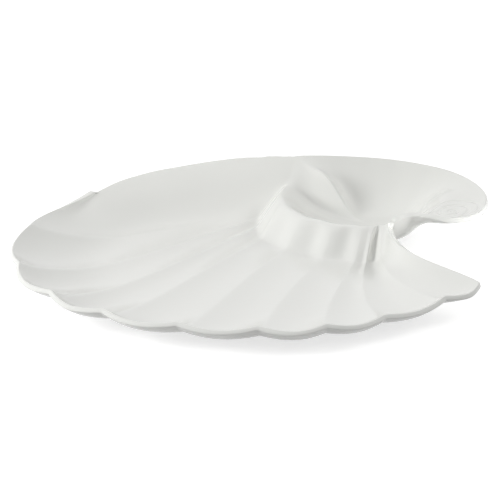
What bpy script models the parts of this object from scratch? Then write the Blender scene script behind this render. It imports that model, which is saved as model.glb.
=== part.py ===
"""Shell-shaped appetizer dish: a fluted plate and a dip bowl in one piece of white glazed ceramic.

The upper surface is modelled as one thin sheet. A fan of flute lines leaves the ridge between the
plate and the bowl and runs out to the scalloped rim. The sheet is then given its wall thickness,
its lips are rounded, and a turned foot ring is joined below it. Lengths are in millimetres and
angles in degrees. The front of the dish faces -Y and the bowl stands at the back right.
"""

import math

import bmesh
import bpy
import numpy as np
from mathutils import Matrix

NAME = "shell_dish"
METRES = 0.001

# Body: the wall thins towards every free edge, and the edge itself is rounded.
WALL_THICKNESS = 4.0
EDGE_THICKNESS = 2.6
EDGE_TAPER = 22.0
LIP_ROUNDING = 1.1
LIP_SEGMENTS = 2
PLATE_FLOOR = 8.0

# Dip bowl, set into the plate at the back right
BOWL_CENTRE = (72.0, 88.0)
BOWL_RADIUS = 47.0
BOWL_FLOOR = 8.5
WELL_CENTRE = (80.0, 86.0)
WELL_RADIUS = 14.0

# Ridge between bowl and plate. It runs clockwise from the notch to the back rim.
RIDGE_HEIGHT = 25.0
RIDGE_FLARE = 13.0

# Joints between the lobes of the rim, from the horn tip clockwise to the smooth back rim:
# place in plan and height, the heading of the flute that leaves the joint towards the bowl, and
# the angle about the bowl at which the same flute meets the ridge
RIM_JOINTS = (
    (144.5, -53.5, 21.5, 123.0, 290.0),
    (122.0, -71.0, 20.0, 126.0, 286.5),
    (83.0, -100.5, 19.5, 110.0, 279.0),
    (47.0, -122.5, 20.0, 97.0, 270.5),
    (5.0, -127.5, 20.0, 87.0, 248.0),
    (-45.0, -120.0, 20.0, 69.0, 219.0),
    (-92.0, -96.0, 20.0, 53.0, 190.0),
    (-125.0, -65.5, 21.0, 36.0, 168.0),
    (-146.0, -18.0, 22.5, 19.0, 154.0),
    (-140.0, 47.0, 24.0, 6.0, 143.0),
    (-101.0, 102.0, 25.5, 50.0, 134.3),
)
LOBE_BULGES = (5.0, 3.0, 3.5, 5.0, 4.5, 4.5, 4.5, 4.5, 4.5, 6.0)
LOBE_DIP = 2.5
RIM_RISE_REACH = 60.0
RIM_RISE_BEND = 1.6
RIM_UPTURN_REACH = 14.0
RIM_UPTURN_SHARES = (0.5, 0.5, 0.5, 0.5, 0.5, 0.5, 0.45, 0.3, 0.15, 0.05, 0.0)

# Heading and reach in plan of each joint's flute where it leaves the ridge, and the run of the wall
RIDGE_FLUTES = (
    (266.0, 54.0, 24.0),
    (256.0, 44.0, 24.0),
    (248.0, 36.0, 24.0),
    (252.0, 30.0, 23.0),
    (240.0, 28.0, 22.0),
    (220.0, 28.0, 21.0),
    (220.0, 36.0, 22.0),
    (220.0, 44.0, 19.0),
    (212.0, 50.0, 17.0),
    (197.0, 46.0, 18.0),
    (174.3, 40.0, 20.0),
)

# Flutes
PLATE_FLUTE = 1.2
RIM_REACH = 0.3
GROOVE_AT_RIDGE = 0.3
GROOVE_ON_WALL = 0.8
GROOVE_RUN = 1.3
WALL_FLUTES = (0.0, 6.5, 0.8, 6.0, 6.0, 2.0, 1.5, 1.2, 1.0, 0.0)
BOWL_FLUTE = 1.0
BOWL_FLUTE_COUNT = 15
BOWL_FLUTE_TURN = 7.0

# Horn: its free edge falls from the notch to the tip, and its slope ends in a valley.
NOTCH_EDGE_HEIGHT = 26.2
NOTCH_SPREAD = 40.0
HORN_VALLEY = 1.5
HORN_FALL = 1.5

# Back wall of the plate
BACK_HEIGHT = 40.7
BACK_SPREAD = 38.0
BLEND = 3.0
BACK_RISE = 1.5
BACK_FALL = 1.75

# Free edge of the bowl, clockwise round the coil to the notch:
# place in plan, drop below the back rim and the direction it is seen from the bowl floor
BOWL_EDGE = (
    (60.0, 132.5, 0.9, 108.0),
    (97.0, 126.0, 1.7, 66.0),
    (132.0, 106.0, 2.9, 28.0),
    (150.3, 73.0, 4.8, -4.0),
    (146.5, 43.0, 7.0, -24.0),
    (130.0, 33.5, 7.8, -36.0),
    (115.0, 39.5, 7.3, -46.0),
    (104.0, 45.0, 8.2, -54.0),
    (94.0, 44.5, 9.9, -62.0),
)
WELL_WIDTH = 33.0
CREST_ROUND = 0.14
WELL_ROUND = 0.8
SHELF_LEVEL = 0.82
SHELF_RUN = 20.0
BACK_TURN = 14.0
HORN_TURN = 8.0

# Foot ring
FOOT_CENTRE = (-22.0, -18.0)
FOOT_RADIUS = 66.0
FOOT_LAND = 4.0
FOOT_DRAFT = 1.5
FOOT_HEIGHT = PLATE_FLOOR - WALL_THICKNESS / 2.0
FOOT_STEPS = 60

# Mesh fineness
LOBE_STEPS = (0.0, 0.11, 0.3, 0.5, 0.7, 0.89)
EDGE_COLUMNS = 4
WALL_ROWS = (0.0, 0.13, 0.28, 0.5, 0.75, 0.9, 1.0)
MIDDLE_ROWS = 8
RIM_ROWS = (1.8, 1.1, 0.7, 0.35, 0.12, 0.0)
BOWL_ROWS = (0.0, 0.16, 0.32, 0.48, 0.64, 0.8, 0.9, 1.0)
RAY_SAMPLES = 81
RIDGE_SAMPLES = 241

WHITE_GLAZE = (0.87, 0.87, 0.855, 1.0)


def through(knots, at):
    """Smooth curve through knots that are numbered 0, 1, 2 ..., read at the numbers given."""
    knots = np.asarray(knots, dtype=float)
    before = 2.0 * knots[:1] - knots[1:2]
    after = 2.0 * knots[-1:] - knots[-2:-1]
    padded = np.concatenate([before, knots, after])
    start = np.clip(np.floor(at).astype(int), 0, len(knots) - 2)
    t = (at - start)[:, None]
    a, b, c, d = (padded[start + k] for k in range(4))
    return b + 0.5 * t * ((c - a) + t * ((2.0 * a - 5.0 * b + 4.0 * c - d) + t * (3.0 * (b - c) + d - a)))


def heading(degrees):
    """Unit vectors in plan for an array of angles."""
    angle = np.radians(degrees)
    return np.stack([np.cos(angle), np.sin(angle)], axis=-1)


def swell(fraction):
    """Rise from 0 to 1 that starts and ends level."""
    return 0.5 - 0.5 * np.cos(np.pi * np.clip(fraction, 0.0, 1.0))


def slope(fraction, top_round=0.18, foot_round=0.2):
    """Fall from 1 to 0 along a straight slope with a rounded crest and a tighter rounded foot."""
    f = np.clip(fraction, 0.0, 1.0)
    steep = 1.0 / (1.0 - 0.5 * top_round - 0.5 * foot_round)
    crest = 1.0 - 0.5 * steep * f**2 / top_round
    straight = 1.0 - steep * (f - 0.5 * top_round)
    foot = 0.5 * steep * (1.0 - f) ** 2 / foot_round
    return np.where(f < top_round, crest, np.where(f < 1.0 - foot_round, straight, foot))


def higher(first, second):
    """The higher of two surfaces, with the crease between them rounded."""
    near = np.clip(1.0 - np.abs(first - second) / BLEND, 0.0, 1.0)
    return np.maximum(first, second) + 0.25 * BLEND * near**2


def lobe_numbers():
    """Column positions counted in lobes: whole numbers are the joints between lobes."""
    lobes = len(RIM_JOINTS) - 1
    parts = [i + np.array(LOBE_STEPS) for i in range(lobes)]
    return np.concatenate(parts + [[float(lobes)]])


def wave(lobe):
    """0 on the sharp crests between flutes, 1 in the rounded troughs."""
    return np.abs(np.sin(np.pi * lobe))


def wall_wave(lobe):
    """0 on the rounded ribs of the bowl wall, and the depth of the sharp grooves between them."""
    depth = WALL_FLUTES[min(int(lobe), len(WALL_FLUTES) - 1)]
    return depth * (1.0 - abs(math.cos(math.pi * lobe)))


def horn_share(lobe):
    """1 along the notch edge, falling to 0 at the valley beside the horn."""
    return np.clip(1.0 - lobe / HORN_VALLEY, 0.0, 1.0) ** HORN_FALL


def scalloped_rim(lobe):
    """Rim points in plan and their heights, with each lobe bulging outwards and dipping."""
    joints = np.asarray(RIM_JOINTS)[:, :3]
    centre_line = through(joints, lobe)
    tangent = (through(joints, lobe + 0.01) - through(joints, lobe - 0.01))[:, :2]
    tangent /= np.linalg.norm(tangent, axis=1, keepdims=True)
    outward = np.stack([-tangent[:, 1], tangent[:, 0]], axis=-1)
    bulge = np.append(np.repeat(LOBE_BULGES, len(LOBE_STEPS)), 0.0) * wave(lobe)
    plan = centre_line[:, :2] + bulge[:, None] * outward
    return plan, centre_line[:, 2]


def ridge_angles(lobe):
    return through(np.asarray(RIM_JOINTS)[:, 4:], lobe)[:, 0]


def ridge_line(lobe):
    """Ridge points in plan, on an arc about the bowl that opens towards the back rim."""
    angle = ridge_angles(lobe)
    done = (angle[0] - angle) / (angle[0] - angle[-1])
    radius = BOWL_RADIUS + RIDGE_FLARE * done**3
    return BOWL_CENTRE + radius[:, None] * heading(angle)


def row_distances(along, to_ridge, spread):
    """Row distances along one flute line: close together on the wall and at the rim."""
    wall = np.interp(spread * np.array(WALL_ROWS), to_ridge, along)
    rim = along[-1] - RIM_UPTURN_REACH * np.array(RIM_ROWS)
    middle = np.linspace(wall[-1], rim[0], MIDDLE_ROWS, endpoint=False)
    return np.concatenate([wall[:-1], middle, rim])


def flute_lines():
    """The flute lines in plan as an array [column, sample, xy], each a curve from ridge to rim."""
    lobe = lobe_numbers()
    rim = scalloped_rim(lobe)[0]
    ridge = ridge_line(lobe)
    start = through(RIDGE_FLUTES, lobe)
    inward = through(np.asarray(RIM_JOINTS)[:, 3:4], lobe)[:, 0]
    span = np.linalg.norm(rim - ridge, axis=1)
    leave = ridge + start[:, 1:2] * heading(start[:, 0])
    arrive = rim + RIM_REACH * span[:, None] * heading(inward)
    t = np.linspace(0.0, 1.0, RAY_SAMPLES)[None, :, None]
    return (
        (1.0 - t) ** 3 * ridge[:, None]
        + 3.0 * t * (1.0 - t) ** 2 * leave[:, None]
        + 3.0 * t**2 * (1.0 - t) * arrive[:, None]
        + t**3 * rim[:, None]
    )


def plate_rows():
    """Plate surface as an array [column, row, xyz and wall share], from the ridge out to the rim."""
    lines = flute_lines()
    lobe = lobe_numbers()
    ridge = ridge_line(np.linspace(0.0, len(RIM_JOINTS) - 1.0, RIDGE_SAMPLES))
    rows = []
    spreads = through(RIDGE_FLUTES, lobe)[:, 2]
    upturns = through(np.array(RIM_UPTURN_SHARES)[:, None], lobe)[:, 0]
    for number, line, top, spread, upturn in zip(lobe, lines, scalloped_rim(lobe)[1], spreads, upturns):
        steps = np.linalg.norm(np.diff(line, axis=0), axis=1)
        along = np.concatenate([[0.0], np.cumsum(steps)])
        to_ridge = nearest_on(ridge, line)[0]
        distance = row_distances(along, to_ridge, spread)
        plan = np.stack([np.interp(distance, along, line[:, k]) for k in range(2)], axis=-1)
        down = np.interp(distance, along, to_ridge) / spread
        rows.append(flute_section(number, plan, distance, down, top, upturn, lines[0], lines[-1]))
    return np.array(rows)


def nearest_on(line, plan):
    """Distance of points in plan from a line, and how far along the line the nearest point is."""
    gaps = np.linalg.norm(plan[:, None] - line[None], axis=2)
    return gaps.min(axis=1), gaps.argmin(axis=1) / (len(line) - 1.0)


def flute_section(lobe, plan, distance, down, top, upturn_share, horn_line, back_line):
    """Heights along one flute line, and the push of the wall flutes."""
    to_rim = distance[-1] - distance
    wall = slope(down)
    rise = np.clip(1.0 - to_rim / RIM_RISE_REACH, 0.0, 1.0) ** RIM_RISE_BEND
    upturn = np.clip(1.0 - to_rim / RIM_UPTURN_REACH, 0.0, 1.0) ** 2
    lift = rise + (upturn - rise) * upturn_share
    crest = RIDGE_HEIGHT + (NOTCH_EDGE_HEIGHT - RIDGE_HEIGHT) * max(1.0 - lobe, 0.0)
    height = PLATE_FLOOR + (crest - PLATE_FLOOR) * wall + (top - PLATE_FLOOR) * lift
    horn_edge = NOTCH_EDGE_HEIGHT + (RIM_JOINTS[0][2] - NOTCH_EDGE_HEIGHT) * distance / distance[-1]
    height += (horn_edge - height) * horn_share(lobe)
    depth = (PLATE_FLUTE + (LOBE_DIP - PLATE_FLUTE) * lift) * (1.0 - wall)
    height -= depth * wave(lobe)
    to_back, part = nearest_on(back_line, plan)
    back_edge = BACK_HEIGHT + (RIM_JOINTS[-1][2] - BACK_HEIGHT) * part**BACK_FALL
    share = np.clip(1.0 - to_back / BACK_SPREAD, 0.0, 1.0)
    below = PLATE_FLOOR - BLEND
    height = higher(height, below + (back_edge - below) * share**BACK_RISE)
    away = plan - BOWL_CENTRE
    away /= np.linalg.norm(away, axis=1, keepdims=True)
    on_wall = np.sin(np.pi * np.clip(down / GROOVE_RUN, 0.0, 1.0))
    push = GROOVE_AT_RIDGE * wall + GROOVE_ON_WALL * on_wall
    push *= wall_wave(lobe) * (1.0 - share)
    to_edge = np.minimum(np.minimum(to_rim, to_back), nearest_on(horn_line, plan)[0])
    return np.column_stack([plan - push[:, None] * away, height, np.clip(to_edge / EDGE_TAPER, 0.0, 1.0)])


def bowl_edge(plate):
    """Edge of the bowl, clockwise from the notch: the ridge, then the free edge round the coil."""
    ridge = plate[:, 0, :3]
    angles = ridge_angles(lobe_numbers())
    on_back = len(WALL_ROWS)
    before = np.append(plate[-1, on_back, :3], angles[-1] + BACK_TURN)
    start = np.append(ridge[-1], angles[-1])
    end = np.append(ridge[0], angles[0] - 360.0)
    after = np.append(plate[0, on_back - 2, :3], angles[0] - 360.0 - HORN_TURN)
    free_edge = np.array(BOWL_EDGE)
    free_edge[:, 2] = BACK_HEIGHT - free_edge[:, 2]
    knots = np.vstack([before, start, free_edge, end, after])
    count = EDGE_COLUMNS * (len(knots) - 3)
    free = through(knots, 1.0 + np.arange(1, count + 1) / EDGE_COLUMNS)
    ring = np.vstack([np.column_stack([ridge, angles]), free])
    lobe = lobe_numbers()
    to_notch = swell(1.0 - (angles[0] - angles) / NOTCH_SPREAD)
    to_back = np.clip((ridge[:, 2] - RIDGE_HEIGHT) / (BACK_HEIGHT - RIDGE_HEIGHT), 0.0, 1.0)
    openness = np.ones(len(ring))
    openness[: len(lobe)] = np.maximum(to_notch, to_back)
    return ring[:, :3], ring[:, 3], openness


def bowl_rows(plate):
    """Bowl surface as an array [column, row, xyz and wall share], from its floor to its edge."""
    edge, angle, openness = bowl_edge(plate)
    floor = WELL_CENTRE + WELL_RADIUS * heading(angle)
    width = np.linalg.norm(edge[:, :2] - floor, axis=1)
    shelf = swell((width - WELL_WIDTH) / SHELF_RUN) * openness
    well = WELL_WIDTH / np.maximum(width, WELL_WIDTH)
    flute = BOWL_FLUTE * wave((angle - BOWL_FLUTE_TURN) * BOWL_FLUTE_COUNT / 360.0) * openness
    middle = np.array([*WELL_CENTRE, BOWL_FLOOR, 1.0])
    rows = [np.tile(middle, (len(edge), 1))]
    for share in BOWL_ROWS:
        crest = slope(1.0 - share, CREST_ROUND, WELL_ROUND)
        rim = 1.0 - math.cos(share * math.pi / 2.0)
        beyond = np.clip((share - well) / np.maximum(1.0 - well, 0.01), 0.0, 1.0)
        step = SHELF_LEVEL * swell(share / well) + (1.0 - SHELF_LEVEL) * beyond**2
        rise = crest + (rim - crest) * openness
        rise = rise + (step - rise) * shelf
        plan = floor + (edge[:, :2] - floor) * share
        plan = plan + (flute * math.sin(share * math.pi))[:, None] * heading(angle)
        height = BOWL_FLOOR + (edge[:, 2] - BOWL_FLOOR) * rise
        to_edge = np.maximum((1.0 - share) * width, EDGE_TAPER * (1.0 - openness))
        rows.append(np.column_stack([plan, height, np.clip(to_edge / EDGE_TAPER, 0.0, 1.0)]))
    return np.array(rows).transpose(1, 0, 2)


def add_grid(sheet, points):
    """Adds a grid to the mesh and moves its corners to the points [column, row, xyz and share]."""
    columns, rows = points.shape[:2]
    shares = sheet.verts.layers.deform.verify()
    made = bmesh.ops.create_grid(sheet, x_segments=columns - 1, y_segments=rows - 1, size=0.5)
    for vert in made["verts"]:
        column = round((vert.co.x + 0.5) * (columns - 1))
        row = round((vert.co.y + 0.5) * (rows - 1))
        vert.co = points[column, row, :3] * METRES
        vert[shares][0] = points[column, row, 3]


def make_sheet():
    """The upper surface of plate and bowl as one open mesh."""
    plate = plate_rows()
    sheet = bmesh.new()
    add_grid(sheet, plate)
    add_grid(sheet, bowl_rows(plate))
    bmesh.ops.remove_doubles(sheet, verts=sheet.verts[:], dist=0.00002)
    bmesh.ops.recalc_face_normals(sheet, faces=sheet.faces[:])
    if sum(face.normal.z for face in sheet.faces) < 0.0:
        bmesh.ops.reverse_faces(sheet, faces=sheet.faces[:])
    for face in sheet.faces:
        face.smooth = True
    mesh = bpy.data.meshes.new(NAME)
    sheet.to_mesh(mesh)
    sheet.free()
    return mesh


def make_foot(collection):
    """Foot ring: its section as a loop of four corners, turned about its own centre."""
    half = FOOT_LAND / 2.0
    section = [
        (FOOT_RADIUS - half, 0.0),
        (FOOT_RADIUS + half, 0.0),
        (FOOT_RADIUS + half + FOOT_DRAFT, FOOT_HEIGHT),
        (FOOT_RADIUS - half - FOOT_DRAFT, FOOT_HEIGHT),
    ]
    mesh = bpy.data.meshes.new("foot_section")
    corners = [(x * METRES, 0.0, z * METRES) for x, z in section]
    mesh.from_pydata(corners, [(0, 1), (1, 2), (2, 3), (3, 0)], [])
    foot = bpy.data.objects.new("foot_ring", mesh)
    foot.location = (FOOT_CENTRE[0] * METRES, FOOT_CENTRE[1] * METRES, 0.0)
    turn = foot.modifiers.new("turn", "SCREW")
    turn.steps = FOOT_STEPS
    turn.render_steps = FOOT_STEPS
    turn.use_merge_vertices = True
    turn.merge_threshold = 0.00001
    turn.use_normal_calculate = True
    foot.hide_render = True
    foot.display_type = "WIRE"
    collection.objects.link(foot)
    return foot


def glaze_material():
    material = bpy.data.materials.new("white_glaze")
    material.use_nodes = True
    shader = material.node_tree.nodes["Principled BSDF"]
    shader.inputs["Base Color"].default_value = WHITE_GLAZE
    shader.inputs["Roughness"].default_value = 0.16
    shader.inputs["Metallic"].default_value = 0.0
    return material


def make_dish(collection, foot):
    """The sheet with its wall thickness, its rounded lips and the foot ring joined on."""
    dish = bpy.data.objects.new(NAME, make_sheet())
    dish.data.materials.append(glaze_material())
    collection.objects.link(dish)
    dish.vertex_groups.new(name="full_wall")
    wall = dish.modifiers.new("wall", "SOLIDIFY")
    wall.thickness = WALL_THICKNESS * METRES
    wall.vertex_group = "full_wall"
    wall.thickness_vertex_group = EDGE_THICKNESS / WALL_THICKNESS
    wall.offset = -1.0
    lips = dish.modifiers.new("lips", "BEVEL")
    lips.width = LIP_ROUNDING * METRES
    lips.segments = LIP_SEGMENTS
    lips.limit_method = "ANGLE"
    lips.angle_limit = math.radians(50.0)
    join = dish.modifiers.new("join_foot", "BOOLEAN")
    join.operation = "UNION"
    join.solver = "EXACT"
    join.object = foot
    return dish


def centre_in_frame(dish, foot):
    """Moves dish and foot so that the middle of the dish's box stands over the origin."""
    bpy.context.view_layer.update()
    graph = bpy.context.evaluated_depsgraph_get()
    box = np.array(dish.evaluated_get(graph).bound_box)
    middle = (box.min(axis=0) + box.max(axis=0)) / 2.0
    dish.data.transform(Matrix.Translation((-middle[0], -middle[1], 0.0)))
    foot.location.x -= middle[0]
    foot.location.y -= middle[1]


def main():
    for thing in list(bpy.data.objects):
        bpy.data.objects.remove(thing, do_unlink=True)
    parts = bpy.data.collections.new(NAME)
    helpers = bpy.data.collections.new("dish_helpers")
    helpers.hide_render = True
    bpy.context.scene.collection.children.link(parts)
    bpy.context.scene.collection.children.link(helpers)
    foot = make_foot(helpers)
    dish = make_dish(parts, foot)
    centre_in_frame(dish, foot)


main()
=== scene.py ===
"""White glazed shell dish with a dip bowl, on a pale studio floor.

The piece is made as it is in the part: a fan of flute lines from the ridge of the bowl to the
scalloped rim, one thin sheet, a wall, and a turned foot ring. Here the sheet is finer, its lips
are thicker and softer, and the coil carries its whorl. Lengths are in millimetres and angles in
degrees, unless a heading says otherwise.
"""

import math

import bmesh
import bpy
import numpy as np
from mathutils import Matrix, Vector


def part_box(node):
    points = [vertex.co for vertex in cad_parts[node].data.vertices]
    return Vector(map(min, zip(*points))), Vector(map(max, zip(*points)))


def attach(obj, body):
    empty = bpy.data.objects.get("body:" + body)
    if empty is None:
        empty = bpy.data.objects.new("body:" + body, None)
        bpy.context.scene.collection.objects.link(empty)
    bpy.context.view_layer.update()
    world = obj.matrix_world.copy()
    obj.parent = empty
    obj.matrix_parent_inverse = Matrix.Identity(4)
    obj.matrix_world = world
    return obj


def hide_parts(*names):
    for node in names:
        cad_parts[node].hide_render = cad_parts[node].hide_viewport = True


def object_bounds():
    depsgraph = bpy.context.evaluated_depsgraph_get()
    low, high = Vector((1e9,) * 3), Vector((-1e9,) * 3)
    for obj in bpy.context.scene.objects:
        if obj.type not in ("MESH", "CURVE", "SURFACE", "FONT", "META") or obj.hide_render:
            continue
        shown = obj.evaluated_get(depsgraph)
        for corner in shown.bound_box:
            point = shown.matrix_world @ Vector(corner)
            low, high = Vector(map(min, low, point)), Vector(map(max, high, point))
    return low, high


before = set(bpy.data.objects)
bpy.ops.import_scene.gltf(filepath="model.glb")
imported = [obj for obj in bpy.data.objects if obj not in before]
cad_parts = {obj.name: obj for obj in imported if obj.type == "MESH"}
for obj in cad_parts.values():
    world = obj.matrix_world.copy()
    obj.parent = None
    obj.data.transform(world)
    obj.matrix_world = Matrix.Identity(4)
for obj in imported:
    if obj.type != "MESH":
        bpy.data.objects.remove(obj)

NODE = "shell_dish"
METRES = 0.001
FULL_TURN = 360.0

# Distances in metres within which corners merge, and within which a corner lies on a plane
MERGING = 0.00002
TOUCHING = 0.000001

# Body
WALL_THICKNESS = 4.0
EDGE_THICKNESS = 3.3
EDGE_TAPER = 22.0
LIP_CREASE = 0.35
PLATE_FLOOR = 8.0

# Dip bowl
BOWL_CENTRE = (72.0, 88.0)
BOWL_RADIUS = 47.0
BOWL_FLOOR = 8.5
WELL_CENTRE = (80.0, 86.0)
WELL_RADIUS = 14.0

# Wall of the bowl: shares of its run that are rounded at the crest and at the foot
WALL_CREST_ROUND = 0.18
WALL_FOOT_ROUND = 0.2

# Ridge between bowl and plate
RIDGE_HEIGHT = 25.0
RIDGE_FLARE = 13.0
RIDGE_FLARE_BEND = 3

# Joints between the lobes of the rim, from the horn tip clockwise to the smooth back rim:
# place in plan and height, heading of the flute towards the bowl, angle where it meets the ridge
RIM_JOINTS = (
    (144.5, -53.5, 21.5, 123.0, 290.0),
    (122.0, -72.0, 19.0, 126.0, 286.5),
    (84.0, -102.0, 18.2, 110.0, 279.0),
    (47.0, -122.5, 19.6, 97.0, 270.5),
    (5.0, -127.5, 20.0, 87.0, 248.0),
    (-45.0, -120.0, 20.0, 69.0, 219.0),
    (-92.0, -96.0, 20.0, 53.0, 190.0),
    (-125.0, -65.5, 21.0, 36.0, 168.0),
    (-146.0, -18.0, 22.5, 19.0, 154.0),
    (-140.0, 47.0, 24.0, 6.0, 143.0),
    (-101.0, 100.0, 25.0, 50.0, 134.3),
)
LOBE_BULGES = (5.0, 3.0, 3.5, 5.0, 4.5, 4.5, 4.5, 4.5, 4.5, 5.0)
LOBE_DIP = 2.5
RIM_RISE_REACH = 60.0
RIM_RISE_BEND = 1.6
RIM_UPTURN_REACH = 14.0
RIM_UPTURN_BEND = 2
RIM_UPTURN_SHARES = (0.5, 0.5, 0.5, 0.5, 0.5, 0.5, 0.45, 0.3, 0.15, 0.05, 0.0)

# Each joint's flute where it leaves the ridge: heading and reach in plan, and run of the wall
RIDGE_FLUTES = (
    (266.0, 54.0, 24.0),
    (256.0, 44.0, 24.0),
    (248.0, 36.0, 24.0),
    (252.0, 30.0, 23.0),
    (240.0, 28.0, 22.0),
    (220.0, 28.0, 21.0),
    (220.0, 36.0, 22.0),
    (220.0, 44.0, 19.0),
    (212.0, 50.0, 17.0),
    (197.0, 46.0, 18.0),
    (174.3, 40.0, 20.0),
)

# Flutes
PLATE_FLUTE = 1.2
RIM_REACH = 0.3
GROOVE_AT_RIDGE = 0.3
GROOVE_ON_WALL = 0.8
GROOVE_RUN = 1.3
WALL_FLUTES = (0.0, 6.5, 0.8, 6.0, 6.0, 2.0, 1.5, 1.2, 1.0, 0.0)
BOWL_FLUTE = 1.0
BOWL_FLUTE_COUNT = 15
BOWL_FLUTE_TURN = 7.0

# Horn
NOTCH_EDGE_HEIGHT = 26.2
NOTCH_SPREAD = 40.0
HORN_VALLEY = 1.5
HORN_FALL = 1.5

# Back wall of the plate
BACK_HEIGHT = 40.7
BACK_SPREAD = 38.0
BLEND = 3.0
BACK_RISE = 1.5
BACK_FALL = 1.75

# Free edge of the bowl, clockwise round the coil to the notch:
# place in plan, drop below the back rim and direction from the middle of the well
BOWL_EDGE = (
    (60.0, 132.5, 0.9, 108.0),
    (97.0, 126.0, 1.7, 66.0),
    (132.0, 106.0, 2.9, 28.0),
    (150.3, 73.0, 4.8, -4.0),
    (146.5, 43.0, 7.0, -24.0),
    (130.0, 33.5, 7.8, -36.0),
    (115.0, 39.5, 7.3, -46.0),
    (104.0, 45.0, 8.2, -54.0),
    (94.0, 44.5, 9.9, -62.0),
)
WELL_WIDTH = 33.0
CREST_ROUND = 0.14
WELL_ROUND = 0.8
SHELF_LEVEL = 0.82
SHELF_RUN = 20.0
SHELF_BEND = 2
NARROWEST_SHELF = 0.01
BACK_TURN = 14.0
HORN_TURN = 8.0

# Whorl on the coil: a spiral groove about its middle
WHORL_CENTRE = (127.8, 55.6)
WHORL_RADIUS = 17.5
WHORL_PITCH = 7.0
WHORL_DEPTH = 0.65
WHORL_TURN = 0.4
WHORL_FADE = 3.0
WHORL_SHARPNESS = 3
WHORL_STEEPEST = 0.3
WHORL_LEVEL = 0.7
WHORL_CUTS = 2
WHORL_SMOOTHING = 1.0

# Foot ring
FOOT_CENTRE = (-22.0, -18.0)
FOOT_RADIUS = 66.0
FOOT_LAND = 4.0
FOOT_DRAFT = 1.5
FOOT_HEIGHT = PLATE_FLOOR - WALL_THICKNESS / 2.0
FOOT_STEPS = 120

# Fineness of the sheet: columns crowd towards the crests between the lobes
LOBE_STEPS = (0.0, 0.07, 0.22, 0.41, 0.59, 0.78, 0.93)
EDGE_COLUMNS = 4
WALL_ROWS = (0.0, 0.1, 0.22, 0.38, 0.56, 0.74, 0.88, 1.0)
MIDDLE_ROWS = 8
RIM_ROWS = (1.8, 1.2, 0.8, 0.5, 0.27, 0.11, 0.0)
BOWL_ROWS = (0.0, 0.12, 0.25, 0.38, 0.5, 0.62, 0.73, 0.83, 0.91, 0.97, 1.0)
FLUTE_SAMPLES = 81
RIDGE_SAMPLES = 241
TANGENT_STEP = 0.01
SOFTENING_LEVELS = 2

# White glaze over the dish, and bare clay on the land of the foot ring: tints, pattern scales
# per metre, the heights in metres between which the glaze ends, roughness and relief in metres
GLAZE_TINTS = ((0.86, 0.866, 0.834, 1.0), (0.885, 0.889, 0.857, 1.0))
CLAY_TINTS = ((0.66, 0.62, 0.55, 1.0), (0.78, 0.75, 0.69, 1.0))
CLOUD_SCALE = 14.0
CLOUD_DETAIL = 2.0
RIPPLE_SCALE = 160.0
RIPPLE_DETAIL = 1.0
GRAIN_SCALE = 2200.0
GRAIN_DETAIL = 2.0
BARE_BELOW = 0.0004
GLAZED_ABOVE = 0.0009
GLAZE_ROUGHNESS = 0.09
CLOUD_ROUGHNESS = 0.05
CLAY_ROUGHNESS = 0.6
GLAZE_IOR = 1.5
RELIEF_STRENGTH = 0.08
RELIEF_DISTANCE = 0.0004

# Studio: half a side of the floor in metres, its grey, and its glow where it is seen directly;
# the tent's light at the horizon, and how much it rises towards the top
FLOOR_REACH = 4.0
FLOOR_GREY = (0.6, 0.6, 0.6, 1.0)
FLOOR_GLOW = 0.7
TENT_LIGHT = 0.19
TENT_RISE = 0.44
WHITE = (1.0, 1.0, 1.0, 1.0)

# Camera: a long lens at the photograph's angle, the width that it sees and its aim
VIEW_WIDTH = 316.9
VIEW_ELEVATION = 20.0
AIM_HEIGHT = 21.7
LENS = 800.0
SENSOR = 36.0
FARTHEST_METRES = 100.0

# Lamps, in metres, degrees and watts
SOFTBOXES = (
    ("left_softbox", (-1.5, -0.35, 0.65), 15.8),
    ("right_softbox", (1.2, 0.3, 0.9), 5.5),
)
SOFTBOX_SIZE = 0.6
DISH_MIDDLE = (0.0, 0.0, 0.02)
SNOOT_PLACE = (0.34, -0.07, 0.025)
SNOOT_TARGET = (0.105, 0.04, 0.022)
SNOOT_POWER = 2.7
SNOOT_CONE = 19.0
SNOOT_BLEND = 0.8
SNOOT_SIZE = 0.03


def through(knots, at):
    """Smooth curve through knots that are numbered 0, 1, 2 ..., read at the numbers given."""
    knots = np.asarray(knots, dtype=float)
    before = 2.0 * knots[:1] - knots[1:2]
    after = 2.0 * knots[-1:] - knots[-2:-1]
    padded = np.concatenate([before, knots, after])
    start = np.clip(np.floor(at).astype(int), 0, len(knots) - 2)
    t = (at - start)[:, None]
    a, b, c, d = (padded[start + k] for k in range(4))
    bend = (2.0 * a - 5.0 * b + 4.0 * c - d) + t * (3.0 * (b - c) + d - a)
    return b + 0.5 * t * ((c - a) + t * bend)


def heading(degrees):
    """Unit vectors in plan for an array of angles."""
    angle = np.radians(degrees)
    return np.stack([np.cos(angle), np.sin(angle)], axis=-1)


def swell(fraction):
    """Rise from 0 to 1 that starts and ends level."""
    return 0.5 - 0.5 * np.cos(np.pi * np.clip(fraction, 0.0, 1.0))


def slope(fraction, top_round, foot_round):
    """Fall from 1 to 0 along a straight slope with a rounded crest and a rounded foot."""
    f = np.clip(fraction, 0.0, 1.0)
    steep = 1.0 / (1.0 - 0.5 * top_round - 0.5 * foot_round)
    crest = 1.0 - 0.5 * steep * f**2 / top_round
    straight = 1.0 - steep * (f - 0.5 * top_round)
    foot = 0.5 * steep * (1.0 - f) ** 2 / foot_round
    return np.where(f < top_round, crest, np.where(f < 1.0 - foot_round, straight, foot))


def higher(first, second):
    """The higher of two surfaces, with the crease between them rounded."""
    near = np.clip(1.0 - np.abs(first - second) / BLEND, 0.0, 1.0)
    return np.maximum(first, second) + 0.25 * BLEND * near**2


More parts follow.
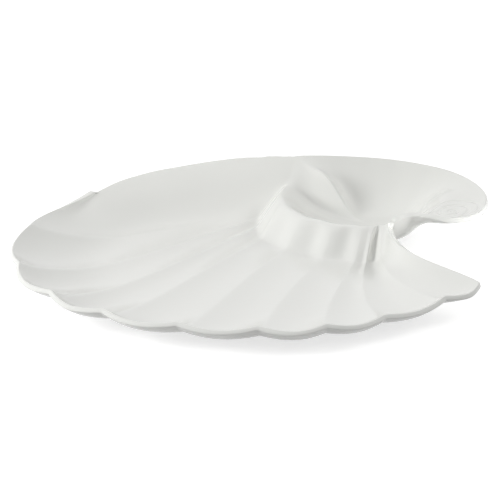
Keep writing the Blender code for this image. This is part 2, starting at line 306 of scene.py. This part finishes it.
def lobe_numbers():
    """Column positions counted in lobes: whole numbers are the joints between lobes."""
    lobes = len(RIM_JOINTS) - 1
    parts = [i + np.array(LOBE_STEPS) for i in range(lobes)]
    return np.concatenate(parts + [[float(lobes)]])


def wave(lobe):
    """0 on the sharp crests between lobes or flutes, 1 in the rounded troughs."""
    return np.abs(np.sin(np.pi * lobe))


def wall_wave(lobe):
    """0 on the rounded ribs of the bowl wall, and the depth of the sharp grooves between them."""
    depth = WALL_FLUTES[min(int(lobe), len(WALL_FLUTES) - 1)]
    return depth * (1.0 - abs(math.cos(math.pi * lobe)))


def wall_share(to_edge):
    """Share of the wall's full thickness, which falls towards a free edge."""
    return np.clip(to_edge / EDGE_TAPER, 0.0, 1.0)


def horn_share(lobe):
    """1 along the notch edge, falling to 0 at the valley beside the horn."""
    return np.clip(1.0 - lobe / HORN_VALLEY, 0.0, 1.0) ** HORN_FALL


def scalloped_rim(lobe):
    """Rim points in plan and their heights, with each lobe bulging outwards and dipping."""
    joints = np.asarray(RIM_JOINTS)[:, :3]
    centre_line = through(joints, lobe)
    ahead = through(joints, lobe + TANGENT_STEP)
    behind = through(joints, lobe - TANGENT_STEP)
    tangent = (ahead - behind)[:, :2]
    tangent /= np.linalg.norm(tangent, axis=1, keepdims=True)
    outward = np.stack([-tangent[:, 1], tangent[:, 0]], axis=-1)
    bulge = np.append(np.repeat(LOBE_BULGES, len(LOBE_STEPS)), 0.0) * wave(lobe)
    plan = centre_line[:, :2] + bulge[:, None] * outward
    return plan, centre_line[:, 2]


def ridge_angles(lobe):
    """Angles about the bowl at which the flutes meet the ridge."""
    return through(np.asarray(RIM_JOINTS)[:, 4:], lobe)[:, 0]


def ridge_line(lobe):
    """Ridge points in plan, on an arc about the bowl that opens towards the back rim."""
    angle = ridge_angles(lobe)
    done = (angle[0] - angle) / (angle[0] - angle[-1])
    radius = BOWL_RADIUS + RIDGE_FLARE * done**RIDGE_FLARE_BEND
    return BOWL_CENTRE + radius[:, None] * heading(angle)


def row_distances(along, to_ridge, spread):
    """Row distances along one flute line: close together on the wall and at the rim."""
    wall = np.interp(spread * np.array(WALL_ROWS), to_ridge, along)
    rim = along[-1] - RIM_UPTURN_REACH * np.array(RIM_ROWS)
    middle = np.linspace(wall[-1], rim[0], MIDDLE_ROWS, endpoint=False)
    return np.concatenate([wall[:-1], middle, rim])


def flute_lines():
    """The flute lines in plan as an array [column, sample, xy], each a curve from ridge to rim."""
    lobe = lobe_numbers()
    rim = scalloped_rim(lobe)[0]
    ridge = ridge_line(lobe)
    start = through(RIDGE_FLUTES, lobe)
    inward = through(np.asarray(RIM_JOINTS)[:, 3:4], lobe)[:, 0]
    span = np.linalg.norm(rim - ridge, axis=1)
    leave = ridge + start[:, 1:2] * heading(start[:, 0])
    arrive = rim + RIM_REACH * span[:, None] * heading(inward)
    t = np.linspace(0.0, 1.0, FLUTE_SAMPLES)[None, :, None]
    return (
        (1.0 - t) ** 3 * ridge[:, None]
        + 3.0 * t * (1.0 - t) ** 2 * leave[:, None]
        + 3.0 * t**2 * (1.0 - t) * arrive[:, None]
        + t**3 * rim[:, None]
    )


def plate_rows():
    """Plate surface as an array [column, row, xyz and wall share], from the ridge to the rim."""
    lines = flute_lines()
    lobe = lobe_numbers()
    ridge = ridge_line(np.linspace(0.0, len(RIM_JOINTS) - 1.0, RIDGE_SAMPLES))
    tops = scalloped_rim(lobe)[1]
    spreads = through(RIDGE_FLUTES, lobe)[:, 2]
    upturns = through(np.array(RIM_UPTURN_SHARES)[:, None], lobe)[:, 0]
    rows = []
    for number, line, top, spread, upturn in zip(lobe, lines, tops, spreads, upturns):
        steps = np.linalg.norm(np.diff(line, axis=0), axis=1)
        along = np.concatenate([[0.0], np.cumsum(steps)])
        to_ridge = nearest_on(ridge, line)[0]
        distance = row_distances(along, to_ridge, spread)
        plan = np.stack([np.interp(distance, along, line[:, k]) for k in range(2)], axis=-1)
        down = np.interp(distance, along, to_ridge) / spread
        rows.append(flute_section(number, plan, distance, down, top, upturn, lines[0], lines[-1]))
    return np.array(rows)


def nearest_on(line, plan):
    """Distance of points in plan from a line, and how far along the line the nearest point is."""
    gaps = np.linalg.norm(plan[:, None] - line[None], axis=2)
    return gaps.min(axis=1), gaps.argmin(axis=1) / (len(line) - 1.0)


def flute_section(lobe, plan, distance, down, top, upturn_share, horn_line, back_line):
    """Points along one flute line, with the flutes of the bowl wall, and their wall shares."""
    to_rim = distance[-1] - distance
    wall = slope(down, WALL_CREST_ROUND, WALL_FOOT_ROUND)
    rise = np.clip(1.0 - to_rim / RIM_RISE_REACH, 0.0, 1.0) ** RIM_RISE_BEND
    upturn = np.clip(1.0 - to_rim / RIM_UPTURN_REACH, 0.0, 1.0) ** RIM_UPTURN_BEND
    lift = rise + (upturn - rise) * upturn_share
    crest = RIDGE_HEIGHT + (NOTCH_EDGE_HEIGHT - RIDGE_HEIGHT) * max(1.0 - lobe, 0.0)
    height = PLATE_FLOOR + (crest - PLATE_FLOOR) * wall + (top - PLATE_FLOOR) * lift
    horn_fall = RIM_JOINTS[0][2] - NOTCH_EDGE_HEIGHT
    horn_edge = NOTCH_EDGE_HEIGHT + horn_fall * distance / distance[-1]
    height += (horn_edge - height) * horn_share(lobe)
    depth = (PLATE_FLUTE + (LOBE_DIP - PLATE_FLUTE) * lift) * (1.0 - wall)
    height -= depth * wave(lobe)
    to_back, part = nearest_on(back_line, plan)
    back_edge = BACK_HEIGHT + (RIM_JOINTS[-1][2] - BACK_HEIGHT) * part**BACK_FALL
    share = np.clip(1.0 - to_back / BACK_SPREAD, 0.0, 1.0)
    below = PLATE_FLOOR - BLEND
    height = higher(height, below + (back_edge - below) * share**BACK_RISE)
    away = plan - BOWL_CENTRE
    away /= np.linalg.norm(away, axis=1, keepdims=True)
    on_wall = np.sin(np.pi * np.clip(down / GROOVE_RUN, 0.0, 1.0))
    push = GROOVE_AT_RIDGE * wall + GROOVE_ON_WALL * on_wall
    push *= wall_wave(lobe) * (1.0 - share)
    to_edge = np.minimum(np.minimum(to_rim, to_back), nearest_on(horn_line, plan)[0])
    return np.column_stack([plan - push[:, None] * away, height, wall_share(to_edge)])


def bowl_edge(plate):
    """Edge of the bowl, clockwise from the notch: the ridge, then the free edge round the coil."""
    ridge = plate[:, 0, :3]
    lobe = lobe_numbers()
    angles = ridge_angles(lobe)
    on_back = len(WALL_ROWS)
    before = np.append(plate[-1, on_back, :3], angles[-1] + BACK_TURN)
    start = np.append(ridge[-1], angles[-1])
    end = np.append(ridge[0], angles[0] - FULL_TURN)
    after = np.append(plate[0, on_back - 2, :3], angles[0] - FULL_TURN - HORN_TURN)
    free_edge = np.array(BOWL_EDGE)
    free_edge[:, 2] = BACK_HEIGHT - free_edge[:, 2]
    knots = np.vstack([before, start, free_edge, end, after])
    count = EDGE_COLUMNS * (len(knots) - 3)
    free = through(knots, 1.0 + np.arange(1, count + 1) / EDGE_COLUMNS)
    ring = np.vstack([np.column_stack([ridge, angles]), free])
    to_notch = swell(1.0 - (angles[0] - angles) / NOTCH_SPREAD)
    to_back = np.clip((ridge[:, 2] - RIDGE_HEIGHT) / (BACK_HEIGHT - RIDGE_HEIGHT), 0.0, 1.0)
    openness = np.ones(len(ring))
    openness[: len(lobe)] = np.maximum(to_notch, to_back)
    return ring[:, :3], ring[:, 3], openness


def bowl_rows(plate):
    """Bowl surface as an array [column, row, xyz and wall share], from its floor to its edge."""
    edge, angle, openness = bowl_edge(plate)
    floor = WELL_CENTRE + WELL_RADIUS * heading(angle)
    width = np.linalg.norm(edge[:, :2] - floor, axis=1)
    shelf = swell((width - WELL_WIDTH) / SHELF_RUN) * openness
    well = WELL_WIDTH / np.maximum(width, WELL_WIDTH)
    flutes_round = (angle - BOWL_FLUTE_TURN) * BOWL_FLUTE_COUNT / FULL_TURN
    flute = BOWL_FLUTE * wave(flutes_round) * openness
    middle = np.array([*WELL_CENTRE, BOWL_FLOOR, 1.0])
    rows = [np.tile(middle, (len(edge), 1))]
    for share in BOWL_ROWS:
        crest = slope(1.0 - share, CREST_ROUND, WELL_ROUND)
        rim = 1.0 - math.cos(share * math.pi / 2.0)
        beyond = np.clip((share - well) / np.maximum(1.0 - well, NARROWEST_SHELF), 0.0, 1.0)
        step = SHELF_LEVEL * swell(share / well) + (1.0 - SHELF_LEVEL) * beyond**SHELF_BEND
        rise = crest + (rim - crest) * openness
        rise = rise + (step - rise) * shelf
        plan = floor + (edge[:, :2] - floor) * share
        plan = plan + (flute * math.sin(share * math.pi))[:, None] * heading(angle)
        height = BOWL_FLOOR + (edge[:, 2] - BOWL_FLOOR) * rise
        to_edge = np.maximum((1.0 - share) * width, EDGE_TAPER * (1.0 - openness))
        rows.append(np.column_stack([plan, height, wall_share(to_edge)]))
    return np.array(rows).transpose(1, 0, 2)


def add_grid(sheet, points):
    """Adds a grid to the mesh and moves its corners to the points [column, row, xyz and share]."""
    columns, rows = points.shape[:2]
    shares = sheet.verts.layers.deform.verify()
    half = 0.5
    made = bmesh.ops.create_grid(sheet, x_segments=columns - 1, y_segments=rows - 1, size=half)
    for vert in made["verts"]:
        column = round((vert.co.x + half) * (columns - 1))
        row = round((vert.co.y + half) * (rows - 1))
        vert.co = points[column, row, :3] * METRES
        vert[shares][0] = points[column, row, 3]


def smooth_mesh(name, shape):
    """The bmesh as a named mesh with smooth faces."""
    for face in shape.faces:
        face.smooth = True
    mesh = bpy.data.meshes.new(name)
    shape.to_mesh(mesh)
    shape.free()
    return mesh


def add_object(name, data):
    """Makes an object of a mesh, lamp or camera and links it to the scene."""
    piece = bpy.data.objects.new(name, data)
    bpy.context.scene.collection.objects.link(piece)
    return piece


def apply_modifiers(piece):
    """Gives a piece the mesh that its modifiers make of it, and takes them off."""
    bpy.context.view_layer.update()
    graph = bpy.context.evaluated_depsgraph_get()
    mesh = bpy.data.meshes.new_from_object(piece.evaluated_get(graph))
    piece.modifiers.clear()
    piece.data = mesh


def make_sheet():
    """The upper surface of plate and bowl as one open mesh."""
    plate = plate_rows()
    sheet = bmesh.new()
    add_grid(sheet, plate)
    add_grid(sheet, bowl_rows(plate))
    bmesh.ops.remove_doubles(sheet, verts=sheet.verts[:], dist=MERGING)
    bmesh.ops.recalc_face_normals(sheet, faces=sheet.faces[:])
    if sum(face.normal.z for face in sheet.faces) < 0.0:
        bmesh.ops.reverse_faces(sheet, faces=sheet.faces[:])
    return smooth_mesh("glazed_dish", sheet)


def make_foot():
    """Foot ring: its section, wider towards the dish, spun round as one closed mesh."""
    half = FOOT_LAND / 2.0
    section = [
        (FOOT_RADIUS - half, 0.0),
        (FOOT_RADIUS + half, 0.0),
        (FOOT_RADIUS + half + FOOT_DRAFT, FOOT_HEIGHT),
        (FOOT_RADIUS - half - FOOT_DRAFT, FOOT_HEIGHT),
    ]
    ring = bmesh.new()
    corners = [ring.verts.new((x * METRES, 0.0, z * METRES)) for x, z in section]
    face = ring.faces.new(corners)
    bmesh.ops.spin(
        ring,
        geom=[face, *face.edges, *face.verts],
        cent=(0.0, 0.0, 0.0),
        axis=(0.0, 0.0, 1.0),
        angle=math.tau,
        steps=FOOT_STEPS,
        use_merge=True,
    )
    inner = [f for f in ring.faces if all(abs(vert.co.y) < TOUCHING for vert in f.verts)]
    bmesh.ops.delete(ring, geom=inner, context="FACES_ONLY")
    bmesh.ops.recalc_face_normals(ring, faces=ring.faces[:])
    bmesh.ops.translate(ring, verts=ring.verts[:], vec=Vector((*FOOT_CENTRE, 0.0)) * METRES)
    return smooth_mesh("foot_ring", ring)


def carve_whorl(mesh):
    """Cuts the spiral groove into the upper surface of the coil, after making its faces finer."""
    coil = bmesh.new()
    coil.from_mesh(mesh)
    middle = Vector((*WHORL_CENTRE, 0.0)) * METRES
    reach = (WHORL_RADIUS + WHORL_FADE) * METRES

    def on_whorl(place, normal):
        return normal.z > WHORL_STEEPEST and (place - middle).to_2d().length < reach

    faces = [f for f in coil.faces if on_whorl(f.calc_center_median(), f.normal)]
    edges = list({edge for face in faces for edge in face.edges})
    bmesh.ops.subdivide_edges(
        coil, edges=edges, cuts=WHORL_CUTS, smooth=WHORL_SMOOTHING, use_grid_fill=True
    )
    coil.normal_update()
    for vert in coil.verts:
        if not on_whorl(vert.co, vert.normal):
            continue
        away = (vert.co - middle).to_2d() / METRES
        turns = away.length / WHORL_PITCH + math.atan2(away.y, away.x) / math.tau + WHORL_TURN
        groove = (0.5 + 0.5 * math.cos(math.tau * turns)) ** WHORL_SHARPNESS
        inside = float(swell((WHORL_RADIUS + WHORL_FADE - away.length) / WHORL_FADE))
        level = float(swell((vert.normal.z - WHORL_STEEPEST) / (WHORL_LEVEL - WHORL_STEEPEST)))
        vert.co.z -= WHORL_DEPTH * METRES * groove * inside * level
    coil.to_mesh(mesh)
    coil.free()


def make_dish(glaze):
    """The sheet with its wall, its soft lips, the whorl and the foot ring joined on."""
    dish = add_object("glazed_dish", make_sheet())
    dish.data.materials.append(glaze)
    dish.vertex_groups.new(name="full_wall")
    wall = dish.modifiers.new("wall", "SOLIDIFY")
    wall.thickness = WALL_THICKNESS * METRES
    wall.vertex_group = "full_wall"
    wall.thickness_vertex_group = EDGE_THICKNESS / WALL_THICKNESS
    wall.offset = -1.0
    wall.edge_crease_inner = LIP_CREASE
    wall.edge_crease_outer = LIP_CREASE
    soften = dish.modifiers.new("soften", "SUBSURF")
    soften.levels = SOFTENING_LEVELS
    soften.render_levels = SOFTENING_LEVELS
    apply_modifiers(dish)
    carve_whorl(dish.data)
    foot = add_object("foot_ring", make_foot())
    foot.data.materials.append(glaze)
    join = dish.modifiers.new("join_foot", "BOOLEAN")
    join.operation = "UNION"
    join.solver = "EXACT"
    join.object = foot
    apply_modifiers(dish)
    bpy.data.objects.remove(foot, do_unlink=True)
    centre_on_part(dish)
    return dish


def centre_on_part(dish):
    """Moves the mesh sideways, so that its middle lies over the middle of the part."""
    low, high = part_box(NODE)
    box = np.array(dish.bound_box)
    middle = (box.min(axis=0) + box.max(axis=0)) / 2.0
    centre = (low + high) / 2.0
    shift = (centre.x - middle[0], centre.y - middle[1], 0.0)
    dish.data.transform(Matrix.Translation(shift))


class Socket:
    """A node socket that adds Math nodes when it is used in an expression."""

    def __init__(self, tree, socket):
        self.tree = tree
        self.socket = socket

    def math(self, operation, *others):
        return add_node(self.tree, "ShaderNodeMath", {"operation": operation}, [self, *others])

    def __add__(self, other):
        return self.math("ADD", other)

    def __sub__(self, other):
        return self.math("SUBTRACT", other)

    def __rsub__(self, other):
        return add_node(self.tree, "ShaderNodeMath", {"operation": "SUBTRACT"}, [other, self])

    def __mul__(self, other):
        return self.math("MULTIPLY", other)

    __radd__ = __add__
    __rmul__ = __mul__


def add_node(tree, kind, settings, inputs, output=0):
    """Adds a node, sets it up, fills its sockets and returns one output, wrapped."""
    node = tree.nodes.new(kind)
    for name, value in settings.items():
        setattr(node, name, value)
    pairs = inputs.items() if isinstance(inputs, dict) else enumerate(inputs)
    for key, value in pairs:
        if isinstance(value, Socket):
            tree.links.new(value.socket, node.inputs[key])
        else:
            node.inputs[key].default_value = value
    return Socket(tree, node.outputs[output]) if node.outputs else None


def new_material(name):
    """An empty material and its node tree."""
    material = bpy.data.materials.new(name)
    material.use_nodes = True
    material.node_tree.nodes.clear()
    return material, material.node_tree


def add_noise(tree, place, scale, detail):
    """Soft noise between 0 and 1 over the surface."""
    settings = {"Vector": place, "Scale": scale, "Detail": detail}
    return add_node(tree, "ShaderNodeTexNoise", {}, settings, "Fac")


def mix_colours(tree, share, first, second):
    """The first colour where the share is 0, the second where it is 1."""
    # The colours of a Mix node are its inputs 6 and 7 and its output 2
    colours = {0: share, 6: first, 7: second}
    return add_node(tree, "ShaderNodeMix", {"data_type": "RGBA"}, colours, 2)


def seen_directly(tree):
    """1 for rays from the camera or off the gloss, 0 for the rays that light the dish."""
    from_camera = add_node(tree, "ShaderNodeLightPath", {}, {}, "Is Camera Ray")
    off_gloss = add_node(tree, "ShaderNodeLightPath", {}, {}, "Is Glossy Ray")
    return from_camera + off_gloss


def white_glaze():
    """Glossy white glaze over the whole dish, wiped off the land of the foot ring."""
    material, tree = new_material("white_glaze")
    place = add_node(tree, "ShaderNodeTexCoord", {}, {}, "Object")
    height = add_node(tree, "ShaderNodeSeparateXYZ", {}, [place], "Z")
    bare = add_node(
        tree,
        "ShaderNodeMapRange",
        {"interpolation_type": "SMOOTHSTEP"},
        {
            "Value": height,
            "From Min": BARE_BELOW,
            "From Max": GLAZED_ABOVE,
            "To Min": 1.0,
            "To Max": 0.0,
        },
    )
    cloud = add_noise(tree, place, CLOUD_SCALE, CLOUD_DETAIL)
    ripple = add_noise(tree, place, RIPPLE_SCALE, RIPPLE_DETAIL)
    grain = add_noise(tree, place, GRAIN_SCALE, GRAIN_DETAIL)
    tint = mix_colours(tree, cloud, *GLAZE_TINTS)
    clay = mix_colours(tree, grain, *CLAY_TINTS)
    colour = mix_colours(tree, bare, tint, clay)
    relief = ripple * (1 - bare) + grain * bare
    bump = add_node(
        tree,
        "ShaderNodeBump",
        {},
        {"Strength": RELIEF_STRENGTH, "Distance": RELIEF_DISTANCE, "Height": relief},
        "Normal",
    )
    roughness = GLAZE_ROUGHNESS + cloud * CLOUD_ROUGHNESS + bare * CLAY_ROUGHNESS
    shader = add_node(
        tree,
        "ShaderNodeBsdfPrincipled",
        {},
        {"Base Color": colour, "Roughness": roughness, "IOR": GLAZE_IOR, "Normal": bump},
    )
    add_node(tree, "ShaderNodeOutputMaterial", {}, {"Surface": shader})
    return material


def studio_floor():
    """Pale floor that is white to the camera and keeps the shadow of the dish."""
    material, tree = new_material("studio_floor")
    strength = seen_directly(tree) * FLOOR_GLOW
    matt = add_node(tree, "ShaderNodeBsdfDiffuse", {}, {"Color": FLOOR_GREY})
    glow = add_node(tree, "ShaderNodeEmission", {}, {"Color": WHITE, "Strength": strength})
    both = add_node(tree, "ShaderNodeAddShader", {}, [matt, glow])
    add_node(tree, "ShaderNodeOutputMaterial", {}, {"Surface": both})
    return material


def make_floor():
    """Plain square floor under the dish."""
    floor = bmesh.new()
    bmesh.ops.create_grid(floor, x_segments=1, y_segments=1, size=FLOOR_REACH)
    piece = add_object("studio_floor", smooth_mesh("studio_floor", floor))
    piece.data.materials.append(studio_floor())


def make_world():
    """Soft light, stronger towards the top, and plain white where the camera or gloss sees it."""
    world = bpy.data.worlds.new("studio_tent")
    bpy.context.scene.world = world
    world.use_nodes = True
    tree = world.node_tree
    tree.nodes.clear()
    seen = seen_directly(tree)
    place = add_node(tree, "ShaderNodeTexCoord", {}, {}, "Generated")
    up = add_node(tree, "ShaderNodeSeparateXYZ", {}, [place], "Z")
    soft = TENT_LIGHT + up * TENT_RISE
    strength = soft + seen * (1.0 - soft)
    glow = add_node(tree, "ShaderNodeBackground", {}, {"Color": WHITE, "Strength": strength})
    add_node(tree, "ShaderNodeOutputWorld", {}, {"Surface": glow})


def hang_lamp(light, place, target, watts):
    """Places a lamp aimed at a point, out of sight in the gloss."""
    light.energy = watts
    lamp = add_object(light.name, light)
    lamp.visible_glossy = False
    lamp.location = place
    direction = Vector(target) - Vector(place)
    lamp.rotation_euler = direction.to_track_quat("-Z", "Y").to_euler()


def add_softbox(name, place, watts):
    """Square lamp aimed at the middle of the dish."""
    light = bpy.data.lights.new(name, "AREA")
    light.shape = "SQUARE"
    light.size = SOFTBOX_SIZE
    hang_lamp(light, place, DISH_MIDDLE, watts)


def add_snoot(name, place, target, watts):
    """Small lamp with a narrow soft-edged cone."""
    light = bpy.data.lights.new(name, "SPOT")
    light.spot_size = math.radians(SNOOT_CONE)
    light.spot_blend = SNOOT_BLEND
    light.shadow_soft_size = SNOOT_SIZE
    hang_lamp(light, place, target, watts)


def make_camera(low, high):
    """Long lens at the photograph's angle, aimed at the middle of the dish as it is seen."""
    angle = math.radians(VIEW_ELEVATION)
    towards = Vector((0.0, math.cos(angle), -math.sin(angle)))
    up = Vector((0.0, math.sin(angle), math.cos(angle)))
    camera = bpy.data.cameras.new("camera")
    camera.lens = LENS
    camera.sensor_width = SENSOR
    camera.clip_end = FARTHEST_METRES
    distance = VIEW_WIDTH * METRES * LENS / SENSOR
    eye = add_object("camera", camera)
    target = Vector(((low.x + high.x) / 2.0, 0.0, 0.0)) + up * AIM_HEIGHT * METRES
    eye.location = target - towards * distance
    eye.rotation_euler = towards.to_track_quat("-Z", "Y").to_euler()
    bpy.context.scene.camera = eye


cad_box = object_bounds()
dish = make_dish(white_glaze())
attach(dish, "root")
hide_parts(NODE)
make_floor()
make_world()
for softbox in SOFTBOXES:
    add_softbox(*softbox)
add_snoot("notch_snoot", SNOOT_PLACE, SNOOT_TARGET, SNOOT_POWER)
make_camera(*cad_box)
bpy.context.scene.view_settings.view_transform = "Standard"
